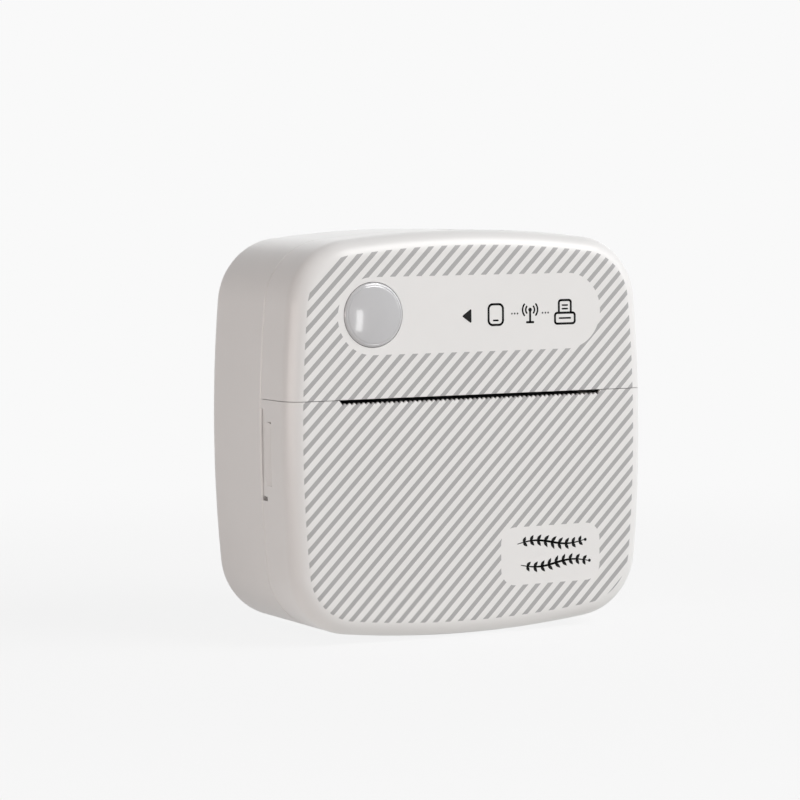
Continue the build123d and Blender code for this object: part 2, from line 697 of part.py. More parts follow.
# Paper bay: trough, roof and end walls, open to the front
bay_outer = bay_radius + bay_wall
lip = radians(bay_lip_angle)
with BuildPart() as paper_bay:
    with BuildSketch(side_plane(-bay_half_width)) as trough:
        with BuildLine():
            diagonal = cos(radians(45))
            for radius in (bay_radius, bay_outer):
                front_lip = (bay_y - radius * sin(lip), bay_z - radius * cos(lip))
                lowest = (bay_y, bay_z - radius)
                rear = (bay_y + radius, bay_z)
                top = (bay_y, bay_z + radius)
                lip_middle = (bay_y - radius * sin(lip / 2), bay_z - radius * cos(lip / 2))
                ThreePointArc(front_lip, lip_middle, lowest)
                ThreePointArc(lowest, (bay_y + radius * diagonal, bay_z - radius * diagonal), rear)
                ThreePointArc(rear, (bay_y + radius * diagonal, bay_z + radius * diagonal), top)
                Line(top, (ceiling_front, bay_z + radius))
            Line((ceiling_front, bay_z + bay_radius), (ceiling_front, bay_top))
            Line(
                (bay_y - bay_radius * sin(lip), bay_z - bay_radius * cos(lip)),
                (bay_y - bay_outer * sin(lip), bay_z - bay_outer * cos(lip)),
            )
        make_face()
    extrude(trough.sketch, amount=2 * bay_half_width)
    for side in (-1, 1):
        with BuildSketch(side_plane(side * bay_half_width)) as end_wall:
            with Locations((bay_y, bay_z)):
                Circle(bay_outer)
            with Locations(((ceiling_front + bay_y) / 2, (bay_z + bay_top) / 2)):
                Rectangle(bay_y - ceiling_front, bay_outer)
            with Locations((bay_y - bay_end_reach - bay_outer, bay_z)):
                Rectangle(2 * bay_outer, 2 * bay_outer, mode=Mode.SUBTRACT)
        extrude(end_wall.sketch, amount=side * bay_wall)
        lug_x = side * case_screw_x
        post(lug_x, screw_low_z, bay_lug_back, inner_back, screw_tube_radius + bay_room, Mode.SUBTRACT)
        post(lug_x, screw_low_z, bay_lug_front, bay_lug_back, bay_lug_radius)
        post(lug_x, screw_low_z, bay_lug_back - screw_bite, bay_lug_back, screw_hole, Mode.SUBTRACT)
        disc(side * bay_post_x, bay_post_y, bay_top - bay_post_length, bay_top, bay_post_radius)
        block(
            sorted((side * (bay_half_width + bay_wall / 2), side * bay_post_x)),
            (bay_post_y - bay_wall, bay_post_y + bay_wall),
            (bay_top - bay_post_length, bay_top),
        )
        pilot_end = bay_top - frame_screw_bite
        disc(side * bay_post_x, bay_post_y, pilot_end, bay_top, board_screw_hole, Mode.SUBTRACT)
    extrude(case_outline(inner_front, wall + bay_room), amount=inner_front - inner_back, mode=Mode.INTERSECT)
finish(paper_bay.part, "paper_bay")

with BuildPart() as paper_sensor:
    block(
        (-sensor_wide / 2, sensor_wide / 2),
        (ceiling_front - sensor_deep, ceiling_front),
        (bay_top - sensor_tall, bay_top),
    )
finish(paper_sensor.part, "paper_sensor")

# Print frame: folded sheet with two side plates, the guide over the mouth and the spring plate
notch_radius = bush_radius + notch_fit


def side_plate(rear, top):
    """Outline of a side plate, with the notch that takes the bush of the platen."""
    with BuildSketch(side_plane(0)) as plate:
        with BuildLine():
            Polyline(
                (frame_front, frame_low_front),
                (frame_back_y, frame_bottom),
                (rear, frame_bottom),
                (rear, top),
                (frame_step, top),
                (frame_step, frame_shoulder),
                (frame_front, frame_shoulder),
                close=True,
            )
        make_face()
        with Locations((platen_y, platen_z)):
            Circle(notch_radius, mode=Mode.SUBTRACT)
        with BuildLine():
            Polyline(
                (platen_y, platen_z + notch_radius),
                (front_y, platen_z + notch_radius),
                (front_y, platen_z - 2 * notch_drop + notch_radius),
                (platen_y, platen_z - notch_radius),
                close=True,
            )
        make_face(mode=Mode.SUBTRACT)
    return plate.sketch


with BuildPart() as print_frame:
    extrude(Pos(frame_inner, 0, 0) * side_plate(frame_motor_rear, frame_motor_top), amount=frame_plate)
    extrude(Pos(-plate_outer, 0, 0) * side_plate(frame_rear, frame_top), amount=frame_plate)
    block((-plate_outer, plate_outer), (frame_back_y, frame_rear), (frame_bottom, frame_bottom + frame_plate))
    block(
        (-plate_outer, plate_outer),
        (platen_y - nose_ahead, platen_y + nose_behind),
        (nose_low, nose_low + frame_plate),
    )
    block(
        (-plate_outer, spring_plate_end),
        (frame_back_y, frame_back_y + frame_plate),
        (frame_bottom, spring_plate_top),
    )
    for side in (-1, 1):
        block(
            sorted((side * frame_inner, side * bay_post_x + bay_post_radius)),
            (bay_post_y - tab_half, bay_post_y + tab_half),
            (frame_bottom, frame_bottom + frame_plate),
        )
        tab_top = frame_bottom + frame_plate
        disc(side * bay_post_x, bay_post_y, frame_bottom, tab_top, board_screw_hole, Mode.SUBTRACT)
    rod(pivot_y, pivot_height, -plate_outer, plate_outer, pivot_radius + shaft_fit, Mode.SUBTRACT)
    rod(idler_y, idler_z, frame_inner, plate_outer, stud_radius + shaft_fit, Mode.SUBTRACT)
    rod(motor_y, motor_z, frame_inner, plate_outer, motor_boss_radius, Mode.SUBTRACT)
    for ear_y, ear_z in motor_ears:
        rod(ear_y, ear_z, frame_inner, plate_outer, motor_screw_radius + screw_fit, Mode.SUBTRACT)
finish(print_frame.part, "print_frame")

with BuildPart() as frame_screws:
    head_z = frame_bottom + frame_plate
    for x in (-bay_post_x, bay_post_x):
        disc(x, bay_post_y, bay_top - frame_screw_bite + screw_radius / 2, head_z, screw_radius)
        disc(x, bay_post_y, head_z, head_z + small_head_tall, small_head_radius)
        disc(x, bay_post_y, head_z + small_head_tall / 2, head_z + small_head_tall,
             small_head_radius / 2, Mode.SUBTRACT)
finish(frame_screws.part, "frame_screws")

# Print head: ceramic strip with the heater line, on a heat sink that tilts on a pin
with BuildPart() as head_strip:
    with BuildSketch(side_plane(-head_half_width)) as strip:
        line_half = sqrt(glaze_radius**2 - (glaze_radius - glaze_proud) ** 2)
        with BuildLine():
            ThreePointArc(
                (head_face_y, platen_z - line_half),
                (head_face_y - glaze_proud, platen_z),
                (head_face_y, platen_z + line_half),
            )
            Polyline(
                (head_face_y, platen_z + line_half),
                (head_face_y, head_board_high),
                (sink_front_y, head_board_high),
                (sink_front_y, head_board_low),
                (head_face_y, head_board_low),
                (head_face_y, platen_z - line_half),
            )
        make_face()
    extrude(strip.sketch, amount=2 * head_half_width)
finish(head_strip.part, "head_strip")

with BuildPart() as heat_sink:
    block((-head_half_width, head_half_width), (sink_front_y, sink_back_y), (sink_low, sink_high))
    for x in (-pivot_lug_x, pivot_lug_x):
        lug_ends = (x - pivot_lug_width / 2, x + pivot_lug_width / 2)
        block(lug_ends, (sink_front_y, sink_back_y), (sink_high - wall, pivot_height))
        rod(pivot_y, pivot_height, *lug_ends, pivot_lug_radius)
        rod(pivot_y, pivot_height, *lug_ends, pivot_radius + running_fit, Mode.SUBTRACT)
finish(heat_sink.part, "heat_sink")

with BuildPart() as head_pivot_pin:
    rod(pivot_y, pivot_height, -plate_outer, plate_outer, pivot_radius)
finish(head_pivot_pin.part, "head_pivot_pin")

with BuildPart() as head_springs:
    for x in (-spring_x, spring_x):
        post(x, spring_z, sink_back_y + touch_gap, frame_back_y - touch_gap, spring_radius)
        post(x, spring_z, sink_back_y, frame_back_y, spring_radius - spring_wire, Mode.SUBTRACT)
finish(head_springs.part, "head_springs")

with BuildPart() as head_ribbon:
    block(
        (-ribbon_wide / 2, ribbon_wide / 2),
        (board_back_y + touch_gap, board_back_y + touch_gap + ribbon_thick),
        (head_board_high + seam_gap, ribbon_top),
    )
finish(head_ribbon.part, "head_ribbon")

# Platen: shaft, rubber roller, bushes and gear, all carried by the ears of the cover
with BuildPart() as platen_shaft:
    rod(platen_y, platen_z, -bush_outer, gear_a_end, platen_shaft_radius)
finish(platen_shaft.part, "platen_shaft")

with BuildPart() as platen_roller:
    rod(platen_y, platen_z, -paper_width / 2, paper_width / 2, platen_radius)
    rod(platen_y, platen_z, -paper_width / 2, paper_width / 2, platen_shaft_radius + shaft_fit, Mode.SUBTRACT)
finish(platen_roller.part, "platen_roller")

with BuildPart() as platen_bushes:
    for side in (-1, 1):
        bore = platen_shaft_radius + running_fit
        rod(platen_y, platen_z, side * bush_inner, side * bush_outer, bush_radius - shaft_fit)
        rod(platen_y, platen_z, side * bush_inner, side * bush_outer, bore, Mode.SUBTRACT)
finish(platen_bushes.part, "platen_bushes")


def gear_face(x, y, z, teeth, first_tooth):
    """Spur gear outline with involute flanks. The first tooth points along the given direction."""
    pitch = pitch_radius(teeth)
    base = pitch * cos(pressure_angle)
    tip = pitch + addendum
    root = pitch - dedendum
    at_pitch = pi / (2 * teeth) - backlash / (4 * pitch) + tan(pressure_angle) - pressure_angle

    def flank(radius):
        slope = acos(base / radius)
        return at_pitch - tan(slope) + slope

    def place(radius, angle):
        return (radius * cos(angle), radius * sin(angle))

    middle = (base + tip) / 2
    with BuildSketch(side_plane(x, y, z)) as gear:
        with BuildLine():
            for number in range(teeth):
                centre = first_tooth + 2 * pi * number / teeth
                following = centre + 2 * pi / teeth
                Line(place(root, centre - at_pitch), place(base, centre - at_pitch))
                ThreePointArc(
                    place(base, centre - at_pitch),
                    place(middle, centre - flank(middle)),
                    place(tip, centre - flank(tip)),
                )
                Line(place(tip, centre - flank(tip)), place(tip, centre + flank(tip)))
                ThreePointArc(
                    place(tip, centre + flank(tip)),
                    place(middle, centre + flank(middle)),
                    place(base, centre + at_pitch),
                )
                Line(place(base, centre + at_pitch), place(root, centre + at_pitch))
                Line(place(root, centre + at_pitch), place(root, following - at_pitch))
        make_face()
    return gear.sketch


with BuildPart() as platen_gear:
    face = gear_face(layer_a_start, platen_y, platen_z, platen_teeth, idler_direction)
    extrude(face, amount=layer_a_thick)
    rod(platen_y, platen_z, layer_a_start, gear_a_end, platen_shaft_radius + shaft_fit, Mode.SUBTRACT)
finish(platen_gear.part, "platen_gear")

with BuildPart() as idler_gear:
    small_first = idler_direction + pi + pi / idler_small_teeth
    small = gear_face(layer_a_start, idler_y, idler_z, idler_small_teeth, small_first)
    extrude(small, amount=layer_a_thick)
    large = gear_face(layer_b_start, idler_y, idler_z, idler_large_teeth, motor_direction)
    extrude(large, amount=layer_b_thick)
    rod(idler_y, idler_z, plate_outer + seam_gap, gear_b_end, 2 * stud_radius)
    rod(idler_y, idler_z, plate_outer, gear_b_end, stud_radius + running_fit, Mode.SUBTRACT)
finish(idler_gear.part, "idler_gear")

clip_start = gear_b_end + seam_gap
with BuildPart() as idler_stud:
    rod(idler_y, idler_z, frame_inner - stud_radius, frame_inner, 2 * stud_radius)
    rod(idler_y, idler_z, frame_inner, clip_start + 2 * clip_thick, stud_radius)
finish(idler_stud.part, "idler_stud")

with BuildPart() as idler_clip:
    rod(idler_y, idler_z, clip_start, clip_start + clip_thick, 2 * stud_radius)
    rod(idler_y, idler_z, clip_start, clip_start + clip_thick, stud_radius + shaft_fit, Mode.SUBTRACT)
finish(idler_clip.part, "idler_clip")

# Stepper motor on the right side plate
with BuildPart() as stepper_motor:
    rod(motor_y, motor_z, motor_back, frame_inner, motor_radius)
    with BuildSketch(side_plane(frame_inner - motor_ear_thick, motor_y, motor_z)) as ears:
        SlotCenterToCenter(2 * motor_ear_reach, 2 * motor_ear_radius, rotation=degrees(motor_ear_direction))
    extrude(ears.sketch, amount=motor_ear_thick)
    for ear_y, ear_z in motor_ears:
        rod(ear_y, ear_z, motor_back, frame_inner, motor_screw_radius + screw_fit, Mode.SUBTRACT)
    rod(motor_y, motor_z, frame_inner, plate_outer, motor_boss_radius - touch_gap)
    rod(motor_y, motor_z, motor_back + wall, plate_outer, motor_shaft_radius + running_fit, Mode.SUBTRACT)
finish(stepper_motor.part, "stepper_motor")

with BuildPart() as motor_shaft:
    rod(motor_y, motor_z, motor_back + wall + touch_gap, gear_b_end, motor_shaft_radius)
finish(motor_shaft.part, "motor_shaft")

with BuildPart() as motor_pinion:
    pinion_first = motor_direction + pi + pi / pinion_teeth
    extrude(gear_face(layer_b_start, motor_y, motor_z, pinion_teeth, pinion_first), amount=layer_b_thick)
    rod(motor_y, motor_z, layer_b_start, gear_b_end, motor_shaft_radius + shaft_fit, Mode.SUBTRACT)
finish(motor_pinion.part, "motor_pinion")

with BuildPart() as motor_screws:
    for ear_y, ear_z in motor_ears:
        rod(ear_y, ear_z, frame_inner - motor_ear_thick, plate_outer, motor_screw_radius)
        rod(ear_y, ear_z, plate_outer, plate_outer + small_head_tall, small_head_radius)
        rod(ear_y, ear_z, plate_outer + small_head_tall / 2, plate_outer + small_head_tall,
            small_head_radius / 2, Mode.SUBTRACT)
finish(motor_screws.part, "motor_screws")

# Battery taped to the back wall, with its plug and leads
with BuildPart() as battery:
    block(
        (-battery_width / 2, battery_width / 2),
        (battery_front, inner_back - tape_thick),
        (battery_bottom, battery_top),
    )
    fillet(battery.edges(), battery_corner)
finish(battery.part, "battery")

with BuildPart() as battery_tape:
    block(
        (-battery_width / 2 + battery_corner * 2, battery_width / 2 - battery_corner * 2),
        (inner_back - tape_thick, inner_back),
        (battery_bottom + battery_corner * 2, battery_top - battery_corner * 2),
    )
finish(battery_tape.part, "battery_tape")

with BuildPart() as battery_plug:
    block(
        (plug_x - plug_wide / 2, plug_x + plug_wide / 2),
        (board_back_y, board_back_y + plug_deep),
        (plug_top - plug_tall, plug_top),
    )
finish(battery_plug.part, "battery_plug")

with BuildPart() as motor_plug:
    block(
        (motor_plug_x - motor_plug_wide / 2, motor_plug_x + motor_plug_wide / 2),
        (board_back_y, board_back_y + plug_deep),
        (plug_top - plug_tall, plug_top),
    )
finish(motor_plug.part, "motor_plug")


def lead(*route):
    """One insulated wire along straight runs joined by arcs."""
    with BuildPart() as wire:
        with BuildLine() as path:
            FilletPolyline(*route, radius=lead_bend)
        with BuildSketch(Plane(origin=path.line @ 0, z_dir=path.line % 0)):
            Circle(lead_radius)
        sweep()
    return wire.part


plug_mid_y = board_back_y + plug_deep / 2
battery_mid_y = (battery_front + inner_back - tape_thick) / 2
battery_pair = []
for offset in (-lead_spacing / 2, lead_spacing / 2):
    x = plug_x + offset
    rise = [(x, battery_mid_y, battery_top), (x, battery_mid_y, lead_z)]
    fall = [(x, plug_mid_y, lead_z), (x, plug_mid_y, plug_top)]
    battery_pair.append(lead(*rise, *fall))
finish(Compound(children=battery_pair), "battery_leads")

motor_lead_y = motor_y + motor_radius / 2
motor_pair = []
for offset in (-lead_spacing / 2, lead_spacing / 2):
    x = motor_plug_x + offset
    z = motor_z - offset
    rise = [(motor_back, motor_lead_y, z), (x, motor_lead_y, z), (x, motor_lead_y, lead_z)]
    fall = [(x, plug_mid_y, lead_z), (x, plug_mid_y, plug_top)]
    motor_pair.append(lead(*rise, *fall))
finish(Compound(children=motor_pair), "motor_leads")
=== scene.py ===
from math import atan2, cos, pi, radians, sin

import bmesh
import bpy
from mathutils import Matrix, Vector


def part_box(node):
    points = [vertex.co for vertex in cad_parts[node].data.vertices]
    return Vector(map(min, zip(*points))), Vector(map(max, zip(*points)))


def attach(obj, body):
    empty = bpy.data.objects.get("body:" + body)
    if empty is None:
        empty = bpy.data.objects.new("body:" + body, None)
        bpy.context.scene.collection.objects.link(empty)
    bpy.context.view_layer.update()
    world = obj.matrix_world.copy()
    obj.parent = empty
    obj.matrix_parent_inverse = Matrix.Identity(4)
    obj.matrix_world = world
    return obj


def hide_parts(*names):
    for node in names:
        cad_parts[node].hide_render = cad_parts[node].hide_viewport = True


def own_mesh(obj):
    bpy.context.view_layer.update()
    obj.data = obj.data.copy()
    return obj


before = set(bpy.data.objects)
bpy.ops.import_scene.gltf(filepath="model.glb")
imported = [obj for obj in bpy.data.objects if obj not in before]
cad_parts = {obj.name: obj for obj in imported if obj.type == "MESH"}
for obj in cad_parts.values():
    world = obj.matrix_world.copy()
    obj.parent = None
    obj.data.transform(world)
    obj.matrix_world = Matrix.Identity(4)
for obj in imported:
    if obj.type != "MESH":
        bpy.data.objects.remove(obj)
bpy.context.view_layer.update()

# The camera. A long lens stands low and to the left of the printer, about 0.64 m
# away, so the front shows nearly whole and the left side as a narrow band.
yaw, pitch, roll = 0.4798, 0.0677, -0.0083
ahead = Vector((sin(yaw) * cos(pitch), cos(yaw) * cos(pitch), -sin(pitch)))
level = Vector((cos(yaw), -sin(yaw), 0))
upward = Vector((sin(yaw) * sin(pitch), cos(yaw) * sin(pitch), cos(pitch)))
camera = bpy.data.cameras.new("camera")
camera.lens, camera.sensor_width, camera.clip_start = 134.2, 36.0, 0.01
holder = bpy.data.objects.new("camera", camera)
bpy.context.scene.collection.objects.link(holder)
turn = Matrix((level * cos(roll) + upward * sin(roll), upward * cos(roll) - level * sin(roll), -ahead))
holder.matrix_world = Matrix.Translation((-0.29709, -0.55824, 0.09097)) @ turn.transposed().to_4x4()
bpy.context.scene.camera = holder
bpy.context.scene.view_settings.view_transform = "Standard"


# The studio: a pale table that runs back into a wall of the same tone with no
# edge, so that only a faint shadow shows where the printer stands. The table is
# seen through, because the open cover swings below the printer's feet.
def linear(colour):
    """An sRGB hex colour as linear light."""
    shares = [int(colour[i : i + 2], 16) / 255 for i in (1, 3, 5)]
    return [s / 12.92 if s <= 0.04045 else ((s + 0.055) / 1.055) ** 2.4 for s in shares] + [1.0]


def add(tree, kind, inputs={}, **settings):
    """Adds a shader node with its settings; each input takes a value or another node's output."""
    made = tree.nodes.new("ShaderNode" + kind)
    for name, value in settings.items():
        setattr(made, name, value)
    for name, value in inputs.items():
        if isinstance(value, bpy.types.NodeSocket):
            tree.links.new(value, made.inputs[name])
        else:
            made.inputs[name].default_value = value
    return made


def ray_is_seen(tree, rays):
    """One for rays from the camera, or by way of gloss or glass, and zero for the rest."""
    direct = {0: rays.outputs["Is Camera Ray"], 1: rays.outputs["Is Glossy Ray"]}
    seen = add(tree, "Math", direct, operation="MAXIMUM").outputs[0]
    through = {0: seen, 1: rays.outputs["Is Transmission Ray"]}
    return add(tree, "Math", through, operation="MAXIMUM").outputs[0]


wall_grey = linear("#F9F9F9")
world_level = 0.12          # light from all round, against white at 1
table_reach = 4.0           # metres
shadow_share = 0.08         # how much of the table's light can be shaded
shadow_near, shadow_far = 0.09, 0.34     # metres from the middle, where that share starts and stops to fade
world = bpy.data.worlds.new("studio")
bpy.context.scene.world = world
world.use_nodes = True
tree = world.node_tree
tree.nodes.clear()
rays = add(tree, "LightPath")
seen = ray_is_seen(tree, rays)
dim = add(tree, "Background", {"Color": linear("#FFFFFF"), "Strength": world_level})
pale = add(tree, "Background", {"Color": wall_grey, "Strength": 1.0})
both = add(tree, "MixShader", {0: seen, 1: dim.outputs[0], 2: pale.outputs[0]})
add(tree, "OutputWorld", {"Surface": both.outputs[0]})

table = bmesh.new()
bmesh.ops.create_circle(table, cap_ends=True, segments=96, radius=table_reach)
mesh = bpy.data.meshes.new("table")
table.to_mesh(mesh)
floor = bpy.data.objects.new("table", mesh)
bpy.context.scene.collection.objects.link(floor)
paint = bpy.data.materials.new("matt white lacquer")
paint.use_nodes = True
tree = paint.node_tree
tree.nodes.clear()
spot = add(tree, "TexCoord").outputs["Object"]
away = add(tree, "VectorMath", {0: spot}, operation="LENGTH").outputs["Value"]
fade = {"Value": away, 1: shadow_near, 2: shadow_far, 3: shadow_share, 4: 0.0}
near = add(tree, "MapRange", fade, interpolation_type="SMOOTHSTEP")
rest = add(tree, "Math", {0: 1.0, 1: near.outputs[0]}, operation="SUBTRACT")
clear = add(tree, "BsdfTransparent", {"Color": rest.outputs[0]})
lit = add(tree, "VectorMath", {0: wall_grey[:3], "Scale": near.outputs[0]}, operation="SCALE")
shaded = add(tree, "BsdfDiffuse", {"Color": lit.outputs[0]})
pale = add(tree, "AddShader", {0: clear.outputs[0], 1: shaded.outputs[0]})
matt = add(tree, "BsdfDiffuse", {"Color": linear("#E6E5E3")})
rays = add(tree, "LightPath")
seen = ray_is_seen(tree, rays)
both = add(tree, "MixShader", {0: seen, 1: matt.outputs[0], 2: pale.outputs[0]})
passed = add(tree, "BsdfTransparent", {"Color": linear("#FFFFFF")})
whole = add(tree, "MixShader", {0: rays.outputs["Is Shadow Ray"], 1: both.outputs[0], 2: passed.outputs[0]})
add(tree, "OutputMaterial", {"Surface": whole.outputs[0]})
mesh.materials.append(paint)

# Lamps: a large soft box in front on the right and above, a long low one on the
# left, a narrow window low in front that shows in the button, and two weak boxes
# that reach the right side, the top and the back. A lamp's place is in metres from
# the printer's middle.
printer_middle = 0.0423     # metres above the table
for name, place, width, height, watts, colour in (
    ("front box", (0.62, -0.78, 0.80), 0.70, 0.70, 11.2, "#FFFFFF"),
    ("left box", (-0.90, -0.30, 0.035), 0.90, 0.15, 2.9, "#FFF1EB"),
    ("low window", (0.085, -0.43, -0.018), 0.036, 0.106, 0.066, "#FFFFFF"),
    ("right box", (0.88, -0.32, 0.38), 0.35, 0.60, 1.5, "#FFFFFF"),
    ("back box", (0.55, 0.95, 0.55), 0.80, 0.80, 1.2, "#FFFFFF"),
):
    lamp = bpy.data.lights.new(name, "AREA")
    lamp.shape, lamp.size, lamp.size_y = "RECTANGLE", width, height
    lamp.energy, lamp.color = watts, linear(colour)[:3]
    stand = bpy.data.objects.new(name, lamp)
    bpy.context.scene.collection.objects.link(stand)
    stand.location = Vector(place) + Vector((0, 0, printer_middle))
    stand.rotation_euler = (-Vector(place)).to_track_quat("-Z", "Y").to_euler()


# Case: three shells of white ABS, injection moulded in a mould with a fine spark
# finish. The front carries a pad-printed grey pattern of stripes at 45 degrees,
# held back from the outline, the round field of the button and the label.
def started(name):
    """A new material with a Principled shader, and the point on the piece in metres."""
    made = bpy.data.materials.new(name)
    made.use_nodes = True
    tree = made.node_tree
    tree.nodes.clear()
    shader = add(tree, "BsdfPrincipled")
    add(tree, "OutputMaterial", {"Surface": shader.outputs[0]})
    return made, tree, shader, add(tree, "TexCoord").outputs["Object"]


def shaded_between(tree, spot, light, dark, size_mm):
    """Colour that wanders softly between two close shades over patches of this size."""
    scale = 1000 / size_mm
    patches = add(tree, "TexNoise", {"Vector": spot, "Scale": scale, "Detail": 3.0, "Roughness": 0.55})
    mix = {"Factor": patches.outputs[0], 6: linear(light), 7: linear(dark)}
    return add(tree, "Mix", mix, data_type="RGBA").outputs[2]


def grained(tree, spot, shader, size_mm, depth_mm, detail=2.0):
    """Fine relief in the surface: grains of this size and depth."""
    scale = 1000 / size_mm
    grains = add(tree, "TexNoise", {"Vector": spot, "Scale": scale, "Detail": detail, "Roughness": 0.6})
    relief = add(tree, "Bump", {"Height": grains.outputs[0], "Strength": 1.0, "Distance": depth_mm / 1000})
    tree.links.new(relief.outputs[0], shader.inputs["Normal"])
    return relief


def dress(material, *names):
    """Gives CAD pieces this material."""
    for name in names:
        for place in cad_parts[name].material_slots:
            place.material = material


# The front's outline in mm: three arcs that repeat round the middle of the front.
half, side_radius, top_radius, corner_radius = 42.0, 300.0, 236.0, 14.1
corner_x, corner_z = 26.69, 26.29     # middle of the corner's arc
front_y = -20.0
middle_z = 42.3
print_inset = 3.1                     # bare plastic between the outline and the stripes
stripe_pitch, stripe_share, stripe_slope = 2.9955, 0.43, 0.9935
abs_roughness, ink_roughness = 0.34, 0.46


def white_abs(name, stripe_start=None):
    """White ABS with a spark finish; stripe_start is where the printed stripes start, if it has any."""
    made, tree, shader, spot = started(name)
    shader.inputs["Roughness"].default_value = abs_roughness
    shader.inputs["IOR"].default_value = 1.53
    plastic = shaded_between(tree, spot, "#ECEBEA", "#E8E7E6", 14.0)
    # The spark finish's grains, about 0.1 mm, are drawn at 0.25 mm so that they show.
    relief = grained(tree, spot, shader, 0.25, 0.006, detail=1.0)
    if stripe_start is None:
        tree.links.new(plastic, shader.inputs["Base Color"])
        return made
    place = add(tree, "SeparateXYZ", {0: spot})
    found = {f"{axis} metres": place.outputs[i] for i, axis in enumerate("xyz")}
    # Folded on both middle lines, the outline is a side arc, a corner arc and a top arc.
    flat = add(tree, "VectorMath", {0: spot, 1: (1000, 0, 1000)}, operation="MULTIPLY").outputs[0]
    flat = add(tree, "VectorMath", {0: flat, 1: (0, 0, middle_z)}, operation="SUBTRACT").outputs[0]
    folded = add(tree, "VectorMath", {0: flat}, operation="ABSOLUTE").outputs[0]
    corner = (corner_x, 0, corner_z)
    off_corner = add(tree, "VectorMath", {0: folded, 1: corner}, operation="SUBTRACT").outputs[0]
    side_back, top_back = side_radius - half, top_radius - half
    for name, point, other, operation in (
        ("from side", folded, (-side_back, 0, 0), "DISTANCE"),
        ("from top", folded, (0, 0, -top_back), "DISTANCE"),
        ("from corner", off_corner, (0, 0, 0), "DISTANCE"),
        ("past side end", off_corner, (-corner_z / (corner_x + side_back), 0, 1), "DOT_PRODUCT"),
        ("past top end", off_corner, (1, 0, -corner_x / (corner_z + top_back)), "DOT_PRODUCT"),
    ):
        step = add(tree, "VectorMath", {0: point, 1: other}, operation=operation)
        found[name] = step.outputs["Value"]
    field_x, field_z, field_reach, field_radius = -0.13, 24.78, 22.92, 7.92
    label_x, label_z, label_wide, label_tall, label_round = 18.4, -26.23, 11.96, 6.08, 3.4
    for name, operation, *terms in (
        ("x", "MULTIPLY", "x metres", 1000),
        ("y", "MULTIPLY", "y metres", 1000),
        ("z table", "MULTIPLY", "z metres", 1000),
        ("z", "SUBTRACT", "z table", middle_z),
        # stripes: distance from the nearest stripe's middle, in pitches
        ("rise", "MULTIPLY", "x", stripe_slope),
        ("over", "SUBTRACT", "z", "rise"),
        ("past", "SUBTRACT", "over", stripe_start),
        ("pitches", "DIVIDE", "past", stripe_pitch),
        ("to middle", "PINGPONG", "pitches", 0.5),
        ("stripe", "LESS_THAN", "to middle", stripe_share / 2),
        # outline: how far in from the edge
        ("in from side", "SUBTRACT", side_radius, "from side"),
        ("in from top", "SUBTRACT", top_radius, "from top"),
        ("in from sides", "MINIMUM", "in from side", "in from top"),
        ("in from corner", "SUBTRACT", corner_radius, "from corner"),
        ("past both", "MINIMUM", "past side end", "past top end"),
        ("at corner", "GREATER_THAN", "past both", 0),
        ("corner less sides", "SUBTRACT", "in from corner", "in from sides"),
        ("inset", "MULTIPLY_ADD", "at corner", "corner less sides", "in from sides"),
        ("inside", "GREATER_THAN", "inset", print_inset),
        # the button's round-ended field stays bare
        ("field x", "SUBTRACT", "x", field_x),
        ("field z", "SUBTRACT", "z", field_z),
        ("field side", "ABSOLUTE", "field x"),
        ("field past", "SUBTRACT", "field side", field_reach),
        ("field end", "MAXIMUM", "field past", 0),
        ("field z squared", "MULTIPLY", "field z", "field z"),
        ("field sum", "MULTIPLY_ADD", "field end", "field end", "field z squared"),
        ("off field", "GREATER_THAN", "field sum", field_radius**2),
        # and so does the label with its rounded corners
        ("label x", "SUBTRACT", "x", label_x),
        ("label z", "SUBTRACT", "z", label_z),
        ("label x side", "ABSOLUTE", "label x"),
        ("label z side", "ABSOLUTE", "label z"),
        ("label x past", "SUBTRACT", "label x side", label_wide - label_round),
        ("label z past", "SUBTRACT", "label z side", label_tall - label_round),
        ("label x end", "MAXIMUM", "label x past", 0),
        ("label z end", "MAXIMUM", "label z past", 0),
        ("label x squared", "MULTIPLY", "label x end", "label x end"),
        ("label sum", "MULTIPLY_ADD", "label z end", "label z end", "label x squared"),
        ("off label", "GREATER_THAN", "label sum", label_round**2),
        # ink lies on the front face alone
        ("front", "LESS_THAN", "y", front_y + 0.7),
        ("ink 1", "MULTIPLY", "stripe", "inside"),
        ("ink 2", "MULTIPLY", "off field", "off label"),
        ("ink 3", "MULTIPLY", "ink 1", "ink 2"),
        ("ink", "MULTIPLY", "ink 3", "front"),
    ):
        inputs = {i: found.get(term, term) for i, term in enumerate(terms)}
        found[name] = add(tree, "Math", inputs, operation=operation).outputs[0]
    ink = shaded_between(tree, spot, "#B0AFAF", "#A9A8A9", 6.0)
    printed = add(tree, "Mix", {"Factor": found["ink"], 6: plastic, 7: ink}, data_type="RGBA")
    tree.links.new(printed.outputs[2], shader.inputs["Base Color"])
    sheen = add(tree, "Mix", {"Factor": found["ink"], 2: abs_roughness, 3: ink_roughness}, data_type="FLOAT")
    tree.links.new(sheen.outputs[0], shader.inputs["Roughness"])
    # The ink film, about 0.01 mm, stands proud of the plastic.
    film = add(tree, "Bump", {"Height": found["ink"], "Strength": 0.5, "Distance": 0.00001})
    tree.links.new(film.outputs[0], relief.inputs["Normal"])
    return made


dress(white_abs("white ABS, spark finish"), "back_shell")
dress(white_abs("white ABS, upper front print", 3.138), "upper_front_shell")
dress(white_abs("white ABS, cover print", 3.385), "paper_cover")

# Pictograms on the button's field: pad-printed in black ink over the white ABS,
# a film about 0.02 mm thick. Pen lines have round ends, as a plotter draws them.
ink_film = 0.02
sunk = 0.02                 # how far the film starts inside the plastic


